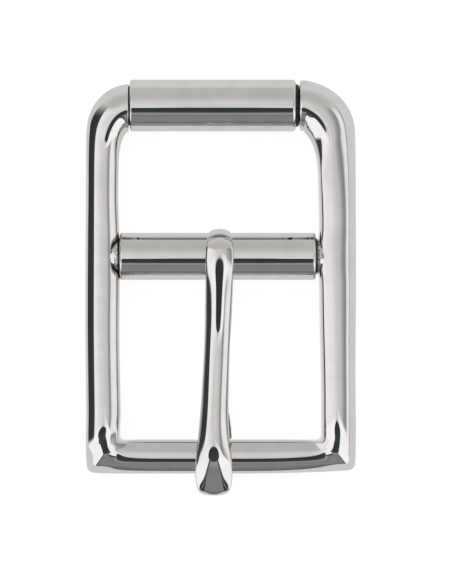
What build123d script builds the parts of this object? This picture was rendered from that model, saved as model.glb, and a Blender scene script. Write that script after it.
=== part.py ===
from build123d import *

import math
import os
from collections import namedtuple

# Roller buckle with a centre bar, for a 38 mm strap. Millimetres.
# It lies on its back: X runs across the strap, Y along it with the roller at +Y, and Z out of its face.
# The origin is the middle of its footprint, in the plane of the frame's flat back.

# Driving dimensions
overall_length = 80.0
frame_width = 52.2

roller_diameter = 10.0
roller_length = 32.0
roller_axis_z = 5.3
roller_rim = 0.6

sleeve_diameter = 9.1
sleeve_length = 37.75
sleeve_rim = 0.5
bar_axis_y = 5.9
bar_axis_z = 5.65

roller_pin_diameter = 8.2
centre_bar_diameter = 7.4
spigot_diameter = 4.4  # both bars are turned down to this at their ends, to stand in the frame's sockets
bar_chamfer = 0.3
bore_chamfer = 0.1
running_clearance = 0.08
socket_depth = 4.2

left_elbow_x = -17.75  # the faces between which the roller turns
right_elbow_x = 15.05
left_elbow_diameter = 9.3
right_elbow_diameter = 9.75
roller_gap = 0.2  # at the left end; the rest of its play is at the right

left_leg_width = 6.4
right_leg_width = 7.1
bottom_bar_width = 6.6
bottom_bar_low_y = -36.05
bottom_corner_radius = 2.5

elbow_steps = 6
taper_start_y = 2.0
leg_front_z = 9.1
bottom_front_z = 7.3
leg_crown = 2.6
leg_heel = 1.6
leg_heel_share = 0.28
flat_strip = 0.04  # left between the arcs of the almost round elbow ends

boss_diameter = 7.9
boss_height = 0.55
sleeve_gap = 0.2

eye_clearance = 0.07
eye_wall = 0.88
eye_width = 4.8
tongue_x = -0.3
tongue_tip_y = -overall_length / 2
tongue_flank = 0.7
tongue_rest_gap = 0.12

os.makedirs("parts", exist_ok=True)

half_width = frame_width / 2
spigot_radius = spigot_diameter / 2
roller_axis_y = (overall_length - roller_diameter) / 2
left_inner_x = left_leg_width - half_width
right_inner_x = half_width - right_leg_width
bottom_bar_top_y = bottom_bar_low_y + bottom_bar_width
roller_x = left_elbow_x + roller_gap + roller_length / 2
sleeve_x = left_inner_x + sleeve_gap + sleeve_length / 2
eye_radius = sleeve_diameter / 2 + eye_clearance
bar_axis = Axis((0, bar_axis_y, bar_axis_z), (1, 0, 0))


# FRAME: one casting, open at the top where its two elbows face the ends of the roller.
# A station is one section of it: its outer and inner points in plan, the heights of its back and front, the height of
# its crown, and the height of its rounded heels with the share of the width that each heel takes.
Station = namedtuple("Station", "outer inner back front crown heel heel_share")


def crowned(station):
    """A section with a flat back, rounded heels, straight flanks and a half-elliptical crown."""
    across = Vector(*station.outer) - Vector(*station.inner)
    centre = (Vector(*station.outer) + Vector(*station.inner)) / 2
    plane = Plane(centre, x_dir=across, z_dir=across.cross(Vector(0, 0, 1)))
    half = across.length / 2
    reach = station.heel_share * across.length
    low = station.back + station.heel
    high = station.front - station.crown
    with BuildSketch(plane) as section:
        with BuildLine():
            Line((reach - half, station.back), (half - reach, station.back))
            EllipticalCenterArc((half - reach, low), reach, station.heel, start_angle=270, arc_size=90)
            Line((half, low), (half, high))
            EllipticalCenterArc((0, high), half, station.crown, start_angle=0, arc_size=90)
            EllipticalCenterArc((0, high), half, station.crown, start_angle=90, arc_size=90)
            Line((-half, high), (-half, low))
            EllipticalCenterArc((reach - half, low), reach, station.heel, start_angle=180, arc_size=90)
        make_face()
    return section.sketch


def leg_station(outer_x, inner_x, y):
    """A level station on a leg, which gets shallower from the centre bar down to the bottom bar."""
    taper = max(0, (taper_start_y - y) / (taper_start_y - bottom_bar_top_y))
    front = leg_front_z + (bottom_front_z - leg_front_z) * taper
    return Station((outer_x, y), (inner_x, y), 0, front, leg_crown, leg_heel, leg_heel_share)


def elbow_stations(elbow):
    """Stations round a quarter turn, whose outer and inner lines in plan are quarter ellipses, ending round."""
    stations = []
    for step in range(elbow_steps + 1):
        turn = math.radians(90 * step / elbow_steps)
        outer = (elbow.face_x + elbow.outer_reach * math.cos(turn), elbow.outer_y + elbow.outer_rise * math.sin(turn))
        inner = (elbow.face_x + elbow.inner_reach * math.cos(turn), elbow.inner_y + elbow.inner_rise * math.sin(turn))
        radius = elbow.diameter / 2
        round_share = math.sin(turn)
        stations.append(
            Station(
                outer,
                inner,
                back=(roller_axis_z - radius) * round_share,
                front=leg_front_z + (roller_axis_z + radius - leg_front_z) * round_share,
                crown=leg_crown + (radius - flat_strip - leg_crown) * round_share,
                heel=leg_heel + (radius - flat_strip - leg_heel) * round_share,
                heel_share=leg_heel_share + (0.5 - flat_strip / elbow.diameter - leg_heel_share) * round_share,
            )
        )
    return stations


def bottom_station(outer, inner):
    """A section of the bottom bar, or the one that it shares with a leg at a mitred corner."""
    return Station(outer, inner, 0, bottom_front_z, leg_crown, leg_heel, leg_heel_share)


Elbow = namedtuple("Elbow", "diameter face_x outer_reach outer_y outer_rise inner_reach inner_y inner_rise")
left_elbow = elbow_stations(
    Elbow(
        diameter=left_elbow_diameter,
        face_x=left_elbow_x,
        outer_reach=-half_width - left_elbow_x,
        outer_y=29.9,
        outer_rise=9.25,
        inner_reach=left_inner_x - left_elbow_x,
        inner_y=23.9,
        inner_rise=6.0,
    )
)
right_elbow = elbow_stations(
    Elbow(
        diameter=right_elbow_diameter,
        face_x=right_elbow_x,
        outer_reach=half_width - right_elbow_x,
        outer_y=29.6,
        outer_rise=10.3,
        inner_reach=right_inner_x - 0.4 - right_elbow_x,
        inner_y=22.0,
        inner_rise=8.1,
    )
)
ring = [
    *reversed(left_elbow),
    leg_station(-half_width, left_inner_x, taper_start_y),
    bottom_station((-half_width, bottom_bar_low_y), (left_inner_x, bottom_bar_top_y)),
    bottom_station((0, bottom_bar_low_y), (0, bottom_bar_top_y)),
    bottom_station((half_width, bottom_bar_low_y + 0.4), (right_inner_x, bottom_bar_top_y)),
    leg_station(half_width, right_inner_x, taper_start_y),
    *right_elbow,
]

with BuildPart() as frame:
    for station, following in zip(ring, ring[1:]):
        loft([crowned(station), crowned(following)])
    # the rough cast boss that the centre bar's right end stands in
    with BuildSketch(Plane(origin=(right_inner_x - boss_height, bar_axis_y, bar_axis_z), z_dir=(1, 0, 0))):
        Circle(boss_diameter / 2)
    extrude(amount=boss_height + right_leg_width / 4)
    # the bottom corners are rounded in plan
    with BuildSketch() as footprint:
        with Locations((0, bottom_bar_low_y)):
            Rectangle(frame_width, 2 * overall_length, align=(Align.CENTER, Align.MIN))
        fillet(footprint.vertices().group_by(Axis.Y)[0], bottom_corner_radius)
    extrude(amount=2 * roller_diameter, mode=Mode.INTERSECT)
    # blind sockets for the roller pin and the centre bar
    for face_x, outward, axis_y, axis_z in (
        (left_elbow_x, -1, roller_axis_y, roller_axis_z),
        (right_elbow_x, 1, roller_axis_y, roller_axis_z),
        (left_inner_x, -1, bar_axis_y, bar_axis_z),
        (right_inner_x, 1, bar_axis_y, bar_axis_z),
    ):
        with BuildSketch(Plane(origin=(face_x, axis_y, axis_z), z_dir=(outward, 0, 0))):
            Circle(spigot_radius)
        extrude(amount=socket_depth, both=True, mode=Mode.SUBTRACT)
frame.part.label = "frame"
export_step(frame.part, "parts/frame.step")


def shouldered_bar(low_x, high_x, axis_y, axis_z, diameter):
    """A round bar that fills the gap between two faces, with a thinner spigot going into the socket behind each."""
    with BuildPart() as bar:
        with BuildSketch(Plane(origin=(low_x, axis_y, axis_z), z_dir=(1, 0, 0))):
            Circle(diameter / 2)
        extrude(amount=high_x - low_x)
        chamfer(bar.edges().filter_by(GeomType.CIRCLE), bar_chamfer)
        with BuildSketch(Plane(origin=(low_x - socket_depth, axis_y, axis_z), z_dir=(1, 0, 0))):
            Circle(spigot_radius)
        extrude(amount=high_x - low_x + 2 * socket_depth)
    return bar


def bush(centre_x, axis_y, axis_z, diameter, bore, length, rim):
    """A tube that turns on a bar along X, with its outer rims rounded and its bore's edges eased."""
    with BuildPart() as tube:
        with BuildSketch(Plane(origin=(centre_x, axis_y, axis_z), z_dir=(1, 0, 0))):
            Circle(diameter / 2)
            Circle(bore / 2, mode=Mode.SUBTRACT)
        extrude(amount=length / 2, both=True)
        rings = tube.edges().filter_by(GeomType.CIRCLE).sort_by(SortBy.RADIUS)
        fillet(rings[-2:], rim)
        chamfer(rings[:2], bore_chamfer)
    return tube


# ROLLER PIN: sprung in between the elbows and held in their sockets
roller_pin = shouldered_bar(left_elbow_x, right_elbow_x, roller_axis_y, roller_axis_z, roller_pin_diameter)
roller_pin.part.label = "roller_pin"
export_step(roller_pin.part, "parts/roller_pin.step")

# ROLLER: turns on its pin, so that the strap pulls over it without rubbing
roller_bore = roller_pin_diameter + 2 * running_clearance
roller = bush(roller_x, roller_axis_y, roller_axis_z, roller_diameter, roller_bore, roller_length, roller_rim)
roller.part.label = "roller"
export_step(roller.part, "parts/roller.step")

# CENTRE BAR: stands in the legs and carries the sleeve, the tongue and the belt's fixed end
boss_face_x = right_inner_x - boss_height
centre_bar = shouldered_bar(left_inner_x, boss_face_x, bar_axis_y, bar_axis_z, centre_bar_diameter)
centre_bar.part.label = "centre_bar"
export_step(centre_bar.part, "parts/centre_bar.step")

# CENTRE SLEEVE: fills the gap between the legs, and the belt's fixed end is folded round it
sleeve_bore = centre_bar_diameter + 2 * running_clearance
centre_sleeve = bush(sleeve_x, bar_axis_y, bar_axis_z, sleeve_diameter, sleeve_bore, sleeve_length, sleeve_rim)
centre_sleeve.part.label = "centre_sleeve"
export_step(centre_sleeve.part, "parts/centre_sleeve.step")


# TONGUE: a crowned eye round the sleeve, and a shank that rests on the bottom bar and leans a little to the left
def tongue_section(x, y, width, back, front):
    """A D-shaped section square to Y: flat at the back, with short flanks and a crowned front."""
    half = width / 2
    flank = min(tongue_flank, (front - back) / 3)
    with BuildSketch(Plane(origin=(x, y, back), x_dir=(1, 0, 0), z_dir=(0, -1, 0))) as section:
        with BuildLine():
            Polyline((-half, flank), (-half, 0), (half, 0), (half, flank))
            EllipticalCenterArc((0, flank), half, front - back - flank, start_angle=0, arc_size=180)
        make_face()
    return section.sketch


rest_z = bottom_front_z + tongue_rest_gap
eye_front_z = bar_axis_z + eye_radius
shank = [
    tongue_section(tongue_x, bar_axis_y - 1.5, eye_width - 0.2, eye_front_z - 0.7, eye_front_z + 0.5),
    tongue_section(tongue_x, 2.0, 5.4, eye_front_z - 1.6, eye_front_z + 0.8),
    tongue_section(tongue_x - 0.05, -0.5, 5.4, rest_z + 0.55, eye_front_z + 0.7),
    tongue_section(tongue_x - 0.25, -7.0, 5.1, rest_z + 0.45, 10.7),
    tongue_section(tongue_x - 0.5, -13.5, 5.0, rest_z + 0.3, 10.45),
    tongue_section(tongue_x - 0.8, -20.0, 5.2, rest_z + 0.15, 10.25),
    tongue_section(tongue_x - 1.0, -26.5, 5.65, rest_z, 10.05),
    tongue_section(tongue_x - 1.08, -31.5, 6.7, rest_z, 9.9),
    tongue_section(tongue_x - 1.06, -35.5, 7.25, rest_z - 0.3, 9.5),
    tongue_section(tongue_x - 1.04, -38.5, 6.7, rest_z - 0.65, 8.9),
    tongue_section(tongue_x - 1.02, tongue_tip_y, 4.2, rest_z - 0.6, 8.1),
]
with BuildPart() as tongue:
    loft(shank, ruled=True)
    with BuildSketch(Plane(origin=(tongue_x, bar_axis_y, bar_axis_z), x_dir=(1, 0, 0), z_dir=(0, 1, 0))):
        with BuildLine():
            Polyline((-eye_width / 2, eye_radius), (-eye_width / 2, 0), (eye_width / 2, 0), (eye_width / 2, eye_radius))
            ThreePointArc((eye_width / 2, eye_radius), (0, eye_radius + eye_wall), (-eye_width / 2, eye_radius))
        make_face()
    revolve(axis=bar_axis)
    # the sleeve's own space is cut out of the eye and of the root's underside
    with BuildSketch(Plane(origin=(tongue_x, bar_axis_y, bar_axis_z), z_dir=(1, 0, 0))):
        Circle(eye_radius)
    extrude(amount=2 * eye_width, both=True, mode=Mode.SUBTRACT)
tongue.part.label = "tongue"
export_step(tongue.part, "parts/tongue.step")
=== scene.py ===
from math import atan, atan2, cos, pi, radians, sin

import bmesh
import bpy
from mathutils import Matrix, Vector


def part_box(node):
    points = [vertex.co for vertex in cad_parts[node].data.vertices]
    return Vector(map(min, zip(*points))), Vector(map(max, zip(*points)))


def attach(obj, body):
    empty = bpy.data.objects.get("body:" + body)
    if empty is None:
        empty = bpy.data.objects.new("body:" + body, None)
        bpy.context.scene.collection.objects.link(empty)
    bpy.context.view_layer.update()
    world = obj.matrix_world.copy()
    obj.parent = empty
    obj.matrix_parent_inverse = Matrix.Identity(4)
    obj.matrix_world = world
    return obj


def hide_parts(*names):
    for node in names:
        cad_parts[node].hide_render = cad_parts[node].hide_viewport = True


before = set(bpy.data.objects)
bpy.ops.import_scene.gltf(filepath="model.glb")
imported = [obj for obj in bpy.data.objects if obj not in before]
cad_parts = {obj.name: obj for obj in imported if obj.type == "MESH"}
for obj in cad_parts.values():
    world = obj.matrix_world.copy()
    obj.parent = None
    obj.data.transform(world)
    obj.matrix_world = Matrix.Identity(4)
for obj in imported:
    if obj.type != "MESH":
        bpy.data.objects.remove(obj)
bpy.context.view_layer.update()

mm = 0.001
runningFit = 0.08 * mm  # between a tube and its bar


# ---- small modelling helpers

def deselectAll():
    if bpy.context.object and bpy.context.object.mode == "EDIT":
        bpy.ops.object.mode_set(mode="OBJECT")
    bpy.ops.object.select_all(action="DESELECT")


def pick(test):
    # selects the points of the mesh being edited that pass a test, with the edges and faces between them
    mesh = bpy.context.object.data
    points = bmesh.from_edit_mesh(mesh)
    points.verts.index_update()
    for face in points.faces:
        face.select = False
    for edge in points.edges:
        edge.select = False
    for vert in points.verts:
        vert.select = bool(test(vert))
    points.select_flush(True)
    bmesh.update_edit_mesh(mesh)


def pointCount():
    return len(bmesh.from_edit_mesh(bpy.context.object.data).verts)


def grow(x, y, z, about=(0, 0, 0)):
    bpy.ops.transform.resize(value=(x, y, z), center_override=about)


def turn(angle, axis, about=(0, 0, 0)):
    # without a window the operator turns backwards
    bpy.ops.transform.rotate(value=-angle, orient_axis=axis, center_override=about)


def shift(x, y, z):
    bpy.ops.transform.translate(value=(x, y, z))


def startPiece(name):
    # an empty mesh, open for editing
    deselectAll()
    bpy.ops.mesh.primitive_circle_add(vertices=3, radius=mm)
    piece = bpy.context.object
    piece.name = piece.data.name = name
    bpy.ops.object.mode_set(mode="EDIT")
    bpy.ops.mesh.select_all(action="SELECT")
    bpy.ops.mesh.delete(type="VERT")
    return piece


def finishPiece(piece, levels=0, sharpAngle=35):
    bpy.ops.mesh.select_all(action="SELECT")
    bpy.ops.mesh.normals_make_consistent(inside=False)
    bpy.ops.object.mode_set(mode="OBJECT")
    if levels:
        rounding = piece.modifiers.new("rounding", "SUBSURF")
        rounding.levels = rounding.render_levels = levels
        bpy.ops.object.modifier_apply(modifier="rounding")
    bpy.ops.object.shade_smooth_by_angle(angle=radians(sharpAngle))


# ---- sections: a bar is a row of upright rings, bridged one to the next

ringPoints = 24
ringSwell = 6 / (4 + 2 * cos(2 * pi / ringPoints))  # the rounding shrinks a ring by this much


def addSection(width, back, front, crown, belly, centre, heading=0.0, tilt=0.0, roll=0.0):
    # the ring stands across X at the origin, gets its crown and its belly, and is then carried to its place
    first = pointCount()
    bpy.ops.mesh.primitive_circle_add(vertices=ringPoints, radius=1, rotation=(pi / 2, 0, 0))
    turn(pi / ringPoints, "Y")
    pick(lambda vert: vert.index >= first and vert.co.z > 0.5 and abs(vert.co.x) > 0.5)
    grow(0.955, 1, 0.955)  # the shoulders are a little flattened
    pick(lambda vert: vert.index >= first)
    grow(width / 2 * ringSwell, 1, 1)
    pick(lambda vert: vert.index >= first and vert.co.z > 0)
    grow(1, 1, crown * ringSwell)
    turn(roll, "Y")
    shift(0, 0, 2 + front - crown)  # held well above the belly half until that is shaped
    pick(lambda vert: vert.index >= first and vert.co.z < 1.5)
    grow(1, 1, belly * ringSwell)
    shift(0, 0, back + belly)
    pick(lambda vert: vert.index >= first and vert.co.z > 1.5)
    shift(0, 0, -2)
    pick(lambda vert: vert.index >= first)
    turn(tilt, "X")
    turn(heading, "Z")
    shift(*centre)


def bridgeSections(count):
    for low in range(0, (count - 1) * ringPoints, ringPoints):
        pick(lambda vert: low <= vert.index < low + 2 * ringPoints)
        bpy.ops.mesh.bridge_edge_loops()


def capSection(number):
    low = number * ringPoints
    pick(lambda vert: low <= vert.index < low + ringPoints)
    bpy.ops.mesh.edge_face_add()


# ---- the frame

def makeFrame():
    low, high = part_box("frame")
    rollerLow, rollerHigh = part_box("roller")
    rollerAxis = (rollerLow + rollerHigh) / 2
    spec = {
        "halfWidth": (high.x - low.x) / 2,
        "bottomLowY": low.y,
        "bottomWidth": 6.6 * mm,
        "rightLift": 0.5 * mm,  # the bottom bar's lower edge rises this much to its right end
        "legFront": 9.0 * mm,
        "bottomFront": 7.3 * mm,
        "crown": 2.6 * mm,
        "belly": 3.2 * mm,
        "groundOff": 1.0 * mm,  # how far the belly reaches below the back before it is ground flat
        "rightRoll": 18,  # the right leg's crown leans outwards
        "leftInner": -19.4 * mm,
        "rightInner": 19.25 * mm,
        "cornerOuter": 4.6 * mm,  # from a corner's middle section to the far one, along its outer edge
        "cornerInner": 2.4 * mm,
        "closeOuter": 2.5 * mm,  # and to the near one
        "closeInner": 1.3 * mm,
        "elbowSteps": 6,
        "socketRadius": 2.2 * mm,
        "socketDepth": 3.0 * mm,
    }
    # down each leg, in millimetres: Y, outer edge, inner edge
    leftLeg = [
        (18, -26.07, -19.85),
        (13, -26.13, -19.68),
        (9.8, -26.14, -19.58),
        (5.9, -26.15, -19.6),
        (2.0, -26.18, -19.48),
        (-1.5, -26.19, -19.5),
        (-8, -26.2, -19.6),
        (-15, -26.13, -19.5),
        (-21, -26.05, -19.38),
        (-24.6, -26.0, -19.28),
    ]
    rightLeg = [
        (18, 26.08, 18.72),
        (13, 26.07, 18.88),
        (10.3, 26.1, 18.85),
        (8.9, 26.12, 18.6),
        (5.9, 26.12, 18.55),
        (2.9, 26.12, 18.6),
        (1.5, 26.14, 18.85),
        (-1.5, 26.14, 18.89),
        (-8, 26.04, 18.98),
        (-15, 25.99, 19.16),
        (-21, 26.01, 19.26),
        (-24.0, 26.06, 19.24),
    ]
    bottomTopY = spec["bottomLowY"] + spec["bottomWidth"]
    leftElbow = {
        "face": -17.75 * mm,
        "radius": 4.65 * mm,
        "outerX": -26.05 * mm,
        "outerY": 29.9 * mm,
        "outerRise": 9.25 * mm,
        "innerX": -19.7 * mm,
        "innerY": 23.9 * mm,
        "innerRise": 6.0 * mm,
        "rim": 0.22 * mm,
        "roll": 0,
    }
    rightElbow = {
        "face": 15.05 * mm,
        "radius": 4.88 * mm,
        "outerX": 26.1 * mm,
        "outerY": 29.6 * mm,
        "outerRise": 10.3 * mm,
        "innerX": 18.6 * mm,
        "innerY": 22.0 * mm,
        "innerRise": 8.1 * mm,
        "rim": 0.55 * mm,
        "roll": spec["rightRoll"],
    }

    def section(outer, inner, back, front, crown, belly, roll=0.0):
        outer, inner = Vector(outer), Vector(inner)
        across = outer - inner
        centre = (outer + inner) / 2
        addSection(across.length, back, front, crown, belly, (centre.x, centre.y, 0),
                   heading=atan2(across.y, across.x), roll=radians(roll))

    def legSection(outer, inner, front, roll=0.0):
        section(outer, inner, -spec["groundOff"], front, spec["crown"], spec["belly"], roll)

    def elbowSection(elbow, step):
        angle = radians(90 * step / spec["elbowSteps"])
        share = sin(angle)
        reach = cos(angle)
        face, radius = elbow["face"], elbow["radius"]
        outer = (face + (elbow["outerX"] - face) * reach, elbow["outerY"] + elbow["outerRise"] * share)
        inner = (face + (elbow["innerX"] - face) * reach, elbow["innerY"] + elbow["innerRise"] * share)
        back = -spec["groundOff"] + (rollerAxis.z - radius + spec["groundOff"]) * share
        front = spec["legFront"] + (rollerAxis.z + radius - spec["legFront"]) * share
        section(outer, inner, back, front, spec["crown"] + (radius - spec["crown"]) * share,
                spec["belly"] + (radius - spec["belly"]) * share, elbow["roll"] * (1 - share))

    def endRing(elbow, radius, depth):
        # a round ring on the elbow's own axis, at some depth behind its face
        inward = -1 if elbow["face"] < 0 else 1
        y = elbow["outerY"] + elbow["outerRise"] - elbow["radius"]
        x = elbow["face"] + inward * depth
        section((x, y + radius), (x, y - radius), rollerAxis.z - radius, rollerAxis.z + radius, radius, radius)

    def elbowEnd(elbow):
        radius, rim, bore = elbow["radius"], elbow["rim"], spec["socketRadius"]
        rings = [(bore, spec["socketDepth"]), (bore, 0.4 * mm), (bore + 0.3 * mm, 0), (radius - 2 * rim, 0),
                 (radius - rim / 2, 0), (radius, rim / 2), (radius, 2 * rim)]
        return [lambda ring=ring: endRing(elbow, *ring) for ring in rings]

    def straightRows(stations, roll=0.0):
        front = spec["legFront"]
        return [((outer * mm, y * mm), (inner * mm, y * mm), front, roll) for y, outer, inner in stations]

    low = spec["bottomLowY"]
    rightLow = low + spec["rightLift"]
    outerStep, innerStep = spec["cornerOuter"], spec["cornerInner"]
    closeOuter, closeInner = spec["closeOuter"], spec["closeInner"]
    leftOuter, leftInner = -spec["halfWidth"], spec["leftInner"]
    rightOuter, rightInner = spec["halfWidth"], spec["rightInner"]
    # round each corner: outer point, inner point, front height, roll of the crown
    leftCorner = [
        ((leftOuter, low + 7.2 * mm), (leftInner, bottomTopY + 3.2 * mm), 8.9 * mm, 0),
        ((leftOuter, low + outerStep), (leftInner, bottomTopY + innerStep), 8.5 * mm, 8),
        ((leftOuter, low + closeOuter), (leftInner, bottomTopY + closeInner), 8.05 * mm, 20),
        ((leftOuter, low), (leftInner, bottomTopY), 7.7 * mm, 24),
        ((leftOuter + closeOuter, low), (leftInner + closeInner, bottomTopY), 7.5 * mm, 18),
        ((leftOuter + outerStep, low), (leftInner + innerStep, bottomTopY), 7.35 * mm, 5),
    ]
    rightCorner = [
        ((rightOuter - outerStep, rightLow - 0.1 * mm), (rightInner - innerStep, bottomTopY), 7.35 * mm, 5),
        ((rightOuter - closeOuter, rightLow), (rightInner - closeInner, bottomTopY), 7.5 * mm, 18),
        ((rightOuter, rightLow), (rightInner, bottomTopY), 7.7 * mm, 24),
        ((rightOuter, rightLow + closeOuter), (rightInner, bottomTopY + closeInner), 8.0 * mm, 21),
        ((rightOuter, rightLow + outerStep), (rightInner, bottomTopY + innerStep), 8.4 * mm, 19),
        ((rightOuter, rightLow + 7.9 * mm), (rightInner, bottomTopY + 3.3 * mm), 8.8 * mm, 18),
    ]
    bottom = [((x * mm, low), (x * mm, bottomTopY), spec["bottomFront"]) for x in (-15, -6, 4, 11)]
    rows = straightRows(leftLeg) + leftCorner + bottom + rightCorner
    rows += straightRows(rightLeg[::-1], spec["rightRoll"])
    steps = elbowEnd(leftElbow)
    elbowSteps = range(spec["elbowSteps"])
    steps += [lambda step=step: elbowSection(leftElbow, step) for step in reversed(elbowSteps)]
    steps += [lambda row=row: legSection(*row) for row in rows]
    steps += [lambda step=step: elbowSection(rightElbow, step) for step in elbowSteps]
    steps += elbowEnd(rightElbow)[::-1]

    piece = startPiece("castFrame")
    for step in steps:
        step()
    bridgeSections(len(steps))
    capSection(0)
    capSection(len(steps) - 1)
    finishPiece(piece, levels=3)

    bpy.ops.object.mode_set(mode="EDIT")
    bpy.ops.mesh.select_all(action="SELECT")
    bpy.ops.mesh.bisect(plane_co=(0, 0, 0), plane_no=(0, 0, 1), use_fill=True, clear_inner=True,
                        threshold=0.001 * mm)
    bpy.ops.object.mode_set(mode="OBJECT")
    bpy.ops.object.shade_smooth_by_angle(angle=radians(32))
    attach(piece, "frame")
    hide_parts("frame")
    print("frame modelled", len(piece.data.polygons), "faces")
    return piece


def makeStub(name, face, inward, seed):
    # the polished collar where the centre bar enters a leg, with a rough edge left round its face
    low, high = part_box("centre_bar")
    axis = (low + high) / 2
    spec = {
        "rings": [(0, 1.5), (0, 2.95), (0.03, 3.25), (0.3, 3.36), (0.7, 3.32), (1.1, 3.2), (1.5, 3.0),
                  (2.0, 2.7), (2.0, 1.5)],  # depth behind the face, radius
        "roughDepth": 0.75 * mm,
        "roughRadius": 3.3 * mm,
        "bumps": 0.09 * mm,
    }
    piece = startPiece(name)
    for depth, radius in spec["rings"]:
        reach = radius * mm
        addSection(2 * reach, axis.z - reach, axis.z + reach, reach, reach,
                   (face + inward * depth * mm, axis.y, 0), heading=pi / 2)
    count = len(spec["rings"])
    bridgeSections(count)
    pick(lambda vert: vert.index < ringPoints or vert.index >= ringPoints * (count - 1))
    bpy.ops.mesh.bridge_edge_loops()
    bpy.ops.mesh.select_all(action="SELECT")
    bpy.ops.mesh.subdivide(number_cuts=3, smoothness=0.4)
    pick(lambda vert: abs(vert.co.x - face) < spec["roughDepth"]
         and (vert.co.yz - axis.yz).length > spec["roughRadius"])
    bpy.ops.transform.vertex_random(offset=spec["bumps"], uniform=0.4, normal=0.6, seed=seed)
    finishPiece(piece, levels=1, sharpAngle=60)
    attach(piece, "frame")
    print(name, "modelled")
    return piece


# ---- the tubes that turn on the bars

tubes = {
    "rollerTube": {"node": "roller", "bar": "roller_pin", "leftRim": 0.38 * mm, "rightRim": 0.66 * mm},
    "centreTube": {"node": "centre_sleeve", "bar": "centre_bar", "leftRim": 0.45 * mm, "rightRim": 0.5 * mm},
}
boreRim = 0.1 * mm


def makeTube(name):
    spec = tubes[name]
    low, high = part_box(spec["node"])
    centre = (low + high) / 2
    radius = (high.z - low.z) / 2
    barLow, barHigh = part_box(spec["bar"])
    boreRadius = (barHigh.z - barLow.z) / 2 + runningFit
    deselectAll()
    bpy.ops.mesh.primitive_cylinder_add(
        vertices=160, radius=radius, depth=high.x - low.x, location=centre, rotation=(0, pi / 2, 0))
    piece = bpy.context.object
    piece.name = piece.data.name = name
    bpy.ops.object.transform_apply(location=True, rotation=True, scale=True)
    bpy.ops.object.mode_set(mode="EDIT")
    bpy.ops.mesh.select_mode(type="FACE")
    mesh = bmesh.from_edit_mesh(piece.data)
    for face in mesh.faces:
        face.select = abs(face.normal.x) > 0.9
    bmesh.update_edit_mesh(piece.data)
    bpy.ops.mesh.inset(thickness=radius - boreRadius)
    bpy.ops.mesh.bridge_edge_loops()
    bpy.ops.mesh.select_mode(type="EDGE")

    def roundRim(endX, wanted, rim):
        def onRim(vert):
            reach = Vector((vert.co.y - centre.y, vert.co.z - centre.z)).length
            return abs(vert.co.x - endX) < 0.01 * mm and abs(reach - wanted) < 0.02 * mm

        mesh = bmesh.from_edit_mesh(piece.data)
        for edge in mesh.edges:
            edge.select = all(onRim(vert) for vert in edge.verts)
        bmesh.update_edit_mesh(piece.data)
        bpy.ops.mesh.bevel(offset=rim, segments=7, profile=0.5, affect="EDGES")

    for endX, rim in ((low.x, spec["leftRim"]), (high.x, spec["rightRim"])):
        roundRim(endX, radius, rim)
        roundRim(endX, boreRadius, boreRim)
    bpy.ops.mesh.select_mode(type="VERT")
    finishPiece(piece, sharpAngle=30)
    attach(piece, spec["node"])
    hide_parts(spec["node"])
    print(name, "modelled")
    return piece


# ---- the tongue

def makeTongue():
    low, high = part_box("centre_sleeve")
    axis = (low + high) / 2
    spec = {
        "eyeRadius": (high.z - low.z) / 2 + 0.07 * mm,
        "eyeWall": 0.88 * mm,
        "leftLean": -0.25 * mm,
        "eye": [(30, 5.2), (52, 4.7), (75, 4.1), (100, 3.7), (130, 3.8), (160, 4.2), (190, 4.5), (220, 4.7),
                (250, 4.8), (275, 4.8), (290, 4.8)],  # round the sleeve: angle from the front, width
    }
    # down the shank from root to tip, in millimetres: Y, X, width, back height, front height, crown
    shank = [
        (7.5, -0.25, 5.3, 10.02, 11.35, 1.15),
        (5.6, -0.28, 5.4, 10.27, 11.17, 0.85),
        (3.4, -0.3, 5.4, 9.65, 10.92, 1.15),
        (1.0, -0.33, 5.3, 8.6, 10.58, 1.6),
        (-4.0, -0.45, 5.26, 7.6, 9.92, 1.9),
        (-8.0, -0.6, 5.08, 7.15, 9.42, 1.85),
        (-11.0, -0.73, 5.0, 7.0, 9.2, 1.8),
        (-14.0, -0.86, 5.0, 7.05, 9.3, 1.8),
        (-18.0, -1.03, 5.15, 7.15, 9.66, 1.9),
        (-22.0, -1.18, 5.3, 7.25, 10.12, 2.1),
        (-26.0, -1.34, 5.6, 7.4, 10.6, 2.2),
        (-29.2, -1.4, 6.1, 7.5, 10.92, 2.2),
        (-31.5, -1.4, 6.75, 7.45, 10.75, 1.9),
        (-33.8, -1.38, 7.2, 7.2, 10.15, 1.35),
        (-36.0, -1.36, 7.25, 6.4, 9.05, 0.95),
        (-38.2, -1.35, 6.8, 5.7, 7.75, 0.8),
        (-39.3, -1.35, 5.5, 5.4, 6.95, 0.7),
        (-39.85, -1.35, 3.4, 5.35, 6.5, 0.6),
    ]
    piece = startPiece("tongueProng")
    # tip first, up the shank, then over the bar and round under it
    for number in range(len(shank) - 1, -1, -1):
        y, x, width, back, front, crown = shank[number]
        above, below = shank[max(number - 1, 0)], shank[min(number + 1, len(shank) - 1)]
        slope = ((above[3] + above[4]) - (below[3] + below[4])) / 2 / (above[0] - below[0])
        thick = front - back
        addSection(width * mm, 0, thick * mm, crown * mm, 0.15 * thick * mm,
                   (x * mm, y * mm, back * mm), tilt=atan(slope))
    for angle, width in spec["eye"]:
        turned = radians(angle)
        radius, wall = spec["eyeRadius"], spec["eyeWall"]
        centre = (spec["leftLean"], axis.y + radius * sin(turned), axis.z + radius * cos(turned))
        addSection(width * mm, 0, wall, 0.8 * wall, 0.14 * wall, centre, tilt=-turned)
    count = len(shank) + len(spec["eye"])
    bridgeSections(count)
    capSection(0)
    capSection(count - 1)
    finishPiece(piece, levels=3)
    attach(piece, "tongue")
    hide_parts("tongue")
    print("tongue modelled", len(piece.data.polygons), "faces")
    return piece


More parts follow.
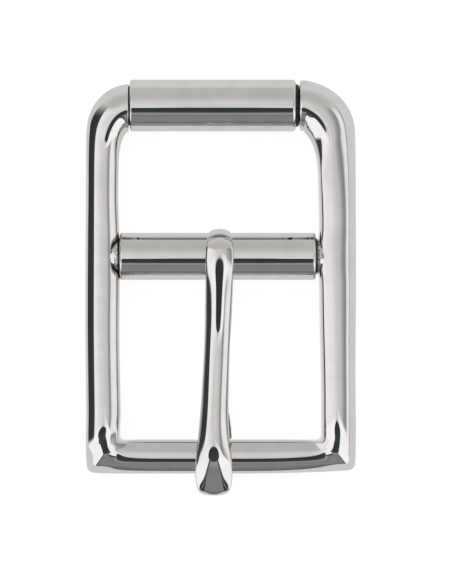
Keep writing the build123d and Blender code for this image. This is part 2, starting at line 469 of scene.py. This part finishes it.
def makeFlash():
    # the rough sliver of casting flash left under the tongue's right edge: Y, middle X, width, back, front
    rows = [(-23.3, 1.1, 0.3, 7.3, 7.6), (-24.6, 1.15, 0.8, 6.6, 7.9), (-26.4, 1.25, 1.1, 6.0, 8.1),
            (-28.0, 1.35, 1.25, 5.8, 8.1), (-29.0, 1.45, 1.2, 5.8, 8.0), (-29.3, 1.45, 0.8, 6.2, 7.7)]
    piece = startPiece("tongueFlash")
    for y, x, width, back, front in rows:
        half = (front - back) / 2 * mm
        addSection(width * mm, back * mm, front * mm, half, half, (x * mm, y * mm, 0))
    bridgeSections(len(rows))
    capSection(0)
    capSection(len(rows) - 1)
    bpy.ops.mesh.select_all(action="SELECT")
    bpy.ops.mesh.subdivide(number_cuts=2, smoothness=0.3)
    bpy.ops.transform.vertex_random(offset=0.08 * mm, uniform=0.5, normal=0.5, seed=5)
    finishPiece(piece, levels=1, sharpAngle=60)
    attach(piece, "tongue")
    print("flash modelled")
    return piece


# ---- materials

class Wire:
    # a node's output that takes part in ordinary arithmetic
    def __init__(self, tree, socket):
        self.tree, self.socket = tree, socket

    def calculate(self, operation, first, second):
        maths = self.tree.nodes.new("ShaderNodeMath")
        maths.operation = operation
        for slot, value in zip(maths.inputs, (first, second)):
            if isinstance(value, Wire):
                self.tree.links.new(value.socket, slot)
            else:
                slot.default_value = value
        return Wire(self.tree, maths.outputs[0])

    def __add__(self, other):
        return self.calculate("ADD", self, other)

    def __sub__(self, other):
        return self.calculate("SUBTRACT", self, other)

    def __mul__(self, other):
        return self.calculate("MULTIPLY", self, other)

    def __truediv__(self, other):
        return self.calculate("DIVIDE", self, other)

    __radd__ = __add__
    __rmul__ = __mul__


class Bench:
    # a material being put together
    def __init__(self, name):
        self.material = bpy.data.materials.new(name)
        self.material.use_nodes = True
        self.tree = self.material.node_tree
        self.tree.nodes.clear()
        self.place = self.node("ShaderNodeTexCoord", output="Object")

    def node(self, kind, settings=None, inputs=None, output=0):
        made = self.tree.nodes.new(kind)
        for key, value in (settings or {}).items():
            if key == "stops":
                ramp = made.color_ramp
                while len(ramp.elements) < len(value):
                    ramp.elements.new(0.5)
                for element, (position, colour) in zip(ramp.elements, value):
                    element.position = position
                    element.color = (*colour, 1)
            else:
                setattr(made, key, value)
        for key, value in (inputs or {}).items():
            if isinstance(value, Wire):
                self.tree.links.new(value.socket, made.inputs[key])
            else:
                made.inputs[key].default_value = value
        return Wire(self.tree, made.outputs[output])

    def noise(self, scale, detail=2.0, stretch=(1, 1, 1), distortion=0.0):
        stretched = self.node("ShaderNodeMapping", inputs={0: self.place, "Scale": stretch})
        return self.node("ShaderNodeTexNoise", inputs={
            "Vector": stretched, "Scale": scale, "Detail": detail, "Distortion": distortion})

    def between(self, value, low, high, toLow=0.0, toHigh=1.0):
        return self.node("ShaderNodeMapRange", {"interpolation_type": "SMOOTHSTEP"}, {
            0: value, 1: low, 2: high, 3: toLow, 4: toHigh})

    def near(self, point, inside, outside):
        # 1 close to a point, 0 away from it
        distance = self.node("ShaderNodeVectorMath", {"operation": "DISTANCE"}, {0: self.place, 1: point},
                             output="Value")
        return self.between(distance, inside, outside, 1.0, 0.0)

    def mixColours(self, share, first, second):
        return self.node("ShaderNodeMix", {"data_type": "RGBA"}, {0: share, 6: first, 7: second}, output=2)

    def finish(self, shader):
        result = self.tree.nodes.new("ShaderNodeOutputMaterial")
        self.tree.links.new(shader.socket, result.inputs["Surface"])
        return self.material


def polishedSteel(name, grain, roughSpots):
    spec = {
        "bright": (0.585, 0.578, 0.57, 1),
        "dull": (0.55, 0.545, 0.535, 1),
        "grazing": (0.86, 0.84, 0.82, 1),
        "cast": (0.2, 0.2, 0.185, 1),
    }
    bench = Bench(name)
    clouds = bench.noise(260, 3)
    colour = bench.mixColours(bench.between(clouds, 0.35, 0.7), spec["bright"], spec["dull"])
    streaks = bench.noise(900, 4, grain)
    roughness = 0.035 + 0.03 * bench.between(clouds, 0.4, 0.75) + 0.04 * bench.between(streaks, 0.55, 0.8)
    waves = bench.noise(330, 1)
    height = waves * 1.0 + streaks * 0.06
    cast = None
    for point, inside, outside in roughSpots:
        spot = bench.near(point, inside, outside)
        if cast is not None:
            spot = bench.node("ShaderNodeMath", {"operation": "MAXIMUM"}, {0: cast, 1: spot})
        cast = spot
    if cast is not None:
        grains = bench.noise(2600, 5, distortion=0.6)
        colour = bench.mixColours(cast, colour, spec["cast"])
        roughness = roughness + cast * (0.34 + 0.3 * grains)
        height = height + cast * grains * 12
    normal = bench.node("ShaderNodeBump", inputs={"Strength": 1.0, "Distance": 5e-6, "Height": height})
    shader = bench.node("ShaderNodeBsdfPrincipled", inputs={
        "Base Color": colour, "Metallic": 1.0, "Roughness": roughness, "Normal": normal,
        "Specular Tint": spec["grazing"]})
    return bench.finish(shader)


def paintedShadeBarSteel():
    # the bars are rough and coloured near black. This is painted shade, so the narrow gaps round the tubes,
    # where the bars show, come out dark
    spec = {"shadedSteel": (0.05, 0.05, 0.048, 1), "deepShade": (0.012, 0.013, 0.012, 1)}
    bench = Bench("barPaintedShade")
    speckles = bench.noise(1900, 5)
    rings = bench.noise(1400, 3, (6, 0.2, 0.2))
    # two near-black tones mixed by noise: painted shade for the gaps round the tubes
    colour = bench.mixColours(bench.between(speckles, 0.35, 0.6), spec["deepShade"], spec["shadedSteel"])
    height = speckles + rings * 0.5
    normal = bench.node("ShaderNodeBump", inputs={"Strength": 0.8, "Distance": 2e-5, "Height": height})
    return bench.finish(bench.node("ShaderNodeBsdfPrincipled", inputs={
        "Base Color": colour, "Metallic": 0.6, "Roughness": 0.5 + 0.3 * speckles, "Normal": normal}))


def dress(piece, material):
    piece.data.materials.clear()
    piece.data.materials.append(material)


# ---- the studio: a pale table, a soft tent round it and the camera

def light(display):
    # how bright a tent panel has to be for its reflection to reach a given grey on the display
    reflectance = 0.58
    linear = ((display + 0.055) / 1.055) ** 2.4
    return linear / reflectance


def makeTent():
    pink, blue, green, sand = (1.0, 0.98, 0.985), (0.92, 1.0, 1.0), (0.96, 1.0, 0.98), (1.0, 0.985, 0.955)
    spec = {
        "radius": 2.5,
        "strength": 1.8,
        # each panel: degrees from straight above (round from the foot on the seam), grey, tint
        "head": [(0, 0.8, sand), (10, 0.81, pink), (22, 0.76, sand), (32, 0.72, sand), (45, 0.7, sand),
                 (80, 0.71, sand), (84, 0.76, sand)],
        "left": [(0, 0.8, pink), (28, 0.88, pink), (45, 0.92, pink), (59, 0.92, pink), (63, 0.24, blue),
                 (86, 0.2, blue)],
        "right": [(0, 0.8, pink), (28, 0.75, pink), (40, 0.62, green), (48, 0.53, green), (54, 0.54, green),
                  (62, 0.86, pink), (70, 0.91, pink), (80, 0.9, pink), (86, 0.62, sand)],
        "white": [(0, 0.8, pink), (15, 0.86, pink), (28, 0.95, pink), (90, 0.97, pink)],
        "foot": [(0, 0.8, pink), (8, 0.78, pink), (18, 0.58, green), (40, 0.55, green), (46, 0.47, green),
                 (60, 0.5, green), (76, 0.49, green), (84, 0.42, sand), (90, 0.36, sand)],
        "seam": [(18, 0.5, green), (19, 0.2, blue), (21, 0.2, blue), (22, 0.5, green), (23, 0.2, blue),
                 (25, 0.2, blue)],
        "door": [(0, 0.2, blue), (20, 0.2, blue), (34, 0.26, blue)],
        "doorMiddle": 22.5,  # degrees towards the foot
        "doorHalfWidth": 23,
        "doorHalfHeight": 11.5,
    }
    deselectAll()
    bpy.ops.mesh.primitive_ico_sphere_add(subdivisions=5, radius=spec["radius"])
    tent = bpy.context.object
    tent.name = tent.data.name = "softTent"
    bench = Bench("tentCloth")
    x, y, z = (bench.node("ShaderNodeSeparateXYZ", inputs={0: bench.place}, output=axis) for axis in range(3))

    def degrees(operation, *inputs):
        angle = bench.node("ShaderNodeMath", {"operation": operation}, dict(enumerate(inputs)))
        return angle * (180 / pi)

    def panel(name, value, span=90.0):
        stops = [(angle / span, tuple((light(tone) / spec["strength"] * share) for share in tint))
                 for angle, tone, tint in spec[name]]
        return bench.node("ShaderNodeValToRGB", {"stops": stops}, {0: value / span})

    fromTop = degrees("ARCCOSINE", z / spec["radius"])
    across = degrees("ARCTAN2", x, z)
    along = degrees("ARCTAN2", y, z)
    fromFoot = degrees("ARCTAN2", bench.node("ShaderNodeMath", {"operation": "ABSOLUTE"}, {0: x}), y * -1)

    side = bench.mixColours(bench.between(x, -0.02, 0.02), panel("left", fromTop), panel("right", fromTop))
    seamShare = bench.between(fromFoot, 17.6, 18.4) * bench.between(fromTop, 22, 28)
    foot = bench.mixColours(seamShare, panel("foot", fromTop), panel("seam", fromFoot))
    colour = bench.mixColours(bench.between(fromFoot, 25, 27), foot, panel("white", fromTop))
    colour = bench.mixColours(bench.between(fromFoot, 66, 74), colour, side)
    colour = bench.mixColours(bench.between(fromFoot, 112, 135), colour, panel("head", fromTop))

    # the dark opening that the camera looks through
    across = across * (1 / spec["doorHalfWidth"])
    along = (along + spec["doorMiddle"]) * (1 / spec["doorHalfHeight"])
    door = bench.between(across * across + along * along, 0.93, 1.05, 1.0, 0.0)
    colour = bench.mixColours(door, colour, panel("door", fromTop))
    glow = bench.node("ShaderNodeEmission", inputs={"Color": colour, "Strength": spec["strength"]})
    dress(tent, bench.finish(glow))
    tent.data.materials[0].cycles.emission_sampling = "NONE"
    tent.visible_camera = tent.visible_diffuse = tent.visible_shadow = False


def makeFloor():
    deselectAll()
    bpy.ops.mesh.primitive_plane_add(size=6, location=(0, 0, -0.02 * mm))
    floor = bpy.context.object
    floor.name = floor.data.name = "paleTable"
    bpy.ops.object.transform_apply(location=True)
    bench = Bench("tableTop")
    glow = bench.node("ShaderNodeEmission", inputs={"Color": (1, 1, 1, 1), "Strength": 0.93})
    paper = bench.node("ShaderNodeBsdfDiffuse", inputs={"Color": (0.08, 0.08, 0.08, 1)})
    dress(floor, bench.finish(bench.node("ShaderNodeAddShader", inputs={0: glow, 1: paper})))
    floor.data.materials[0].cycles.emission_sampling = "NONE"


def makeStudio():
    makeTent()
    makeFloor()
    world = bpy.data.worlds.new("paleRoom")
    bpy.context.scene.world = world
    world.use_nodes = True
    world.node_tree.nodes["Background"].inputs["Color"].default_value = (0.9, 0.9, 0.9, 1)
    deselectAll()
    bpy.ops.object.light_add(type="AREA", location=(-0.1, 0.15, 0.5), rotation=(radians(-16), radians(-11), 0))
    softLamp = bpy.context.object
    softLamp.data.shape = "DISK"
    softLamp.data.size = 0.5
    softLamp.data.energy = 1.2
    softLamp.visible_glossy = False
    bpy.context.scene.view_settings.view_transform = "Standard"


def makeCamera():
    spec = {
        "centre": (0.97 * mm, -0.97 * mm),
        "distance": 900 * mm,
        "viewHeight": 112.7 * mm,
        "level": 5 * mm,  # the height above the table at which the view is that high
    }
    data = bpy.data.cameras.new("overhead")
    data.sensor_width = 36
    data.lens = data.sensor_width * spec["distance"] / spec["viewHeight"]
    camera = bpy.data.objects.new("overhead", data)
    bpy.context.scene.collection.objects.link(camera)
    camera.location = (*spec["centre"], spec["distance"] + spec["level"])
    bpy.context.scene.camera = camera


makeCamera()
makeStudio()
print("studio ready")

castFrame = makeFrame()
sleeveLow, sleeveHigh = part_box("centre_sleeve")
leftStub = makeStub("leftStub", sleeveLow.x - 0.18 * mm, -1, 3)
rightStub = makeStub("rightStub", sleeveHigh.x + 0.14 * mm, 1, 8)
rollerTube = makeTube("rollerTube")
centreTube = makeTube("centreTube")
tongueProng = makeTongue()
tongueFlash = makeFlash()

barLow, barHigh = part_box("centre_bar")
barAxis = (barLow + barHigh) / 2


def roughSpot(x, y, z, inside, outside):
    # a patch of bare casting near the centre bar's axis, full inside one radius and gone outside the other
    return (x, barAxis.y + y * mm, barAxis.z + z * mm), inside * mm, outside * mm


edge = [(3.3, 2.1), (2.4, 3.1), (1.2, 3.7), (0.2, 3.9), (-0.8, 3.8), (-1.8, 3.5), (-2.7, 2.8), (-3.4, 1.9)]
frameSpots = [roughSpot(sleeveLow.x - 0.4 * mm, 3.7, 1.5, 0.5, 1.2),
              roughSpot(sleeveHigh.x + 1.2 * mm, 4.1, 1.5, 0.5, 1.1)]
leftSpots = [roughSpot(sleeveLow.x - 0.1 * mm, y, z, 0.45, 0.95) for y, z in edge[1:-1]]
rightSpots = [roughSpot(sleeveHigh.x + 0.3 * mm, y, z, 0.5, 1.0) for y, z in edge]
everywhere = [roughSpot(barAxis.x, 0, 0, 60, 70)]
lengthwise, acrosswise, even = (1, 0.12, 1), (0.1, 1, 1), (1, 1, 1)
for piece, finish, grain, spots in (
        (castFrame, "polishedCasting", lengthwise, frameSpots),
        (leftStub, "leftCollar", even, leftSpots),
        (rightStub, "rightCollar", even, rightSpots),
        (tongueFlash, "roughFlash", even, everywhere),
        (rollerTube, "polishedRoller", acrosswise, []),
        (centreTube, "polishedSleeve", acrosswise, []),
        (tongueProng, "polishedTongue", lengthwise, [])):
    dress(piece, polishedSteel(finish, grain, spots))
barShadeFinish = paintedShadeBarSteel()
# the bars' near-black colour is painted shade for the gaps round the tubes
for node in ("roller_pin", "centre_bar"):
    dress(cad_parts[node], barShadeFinish)
print("materials ready")
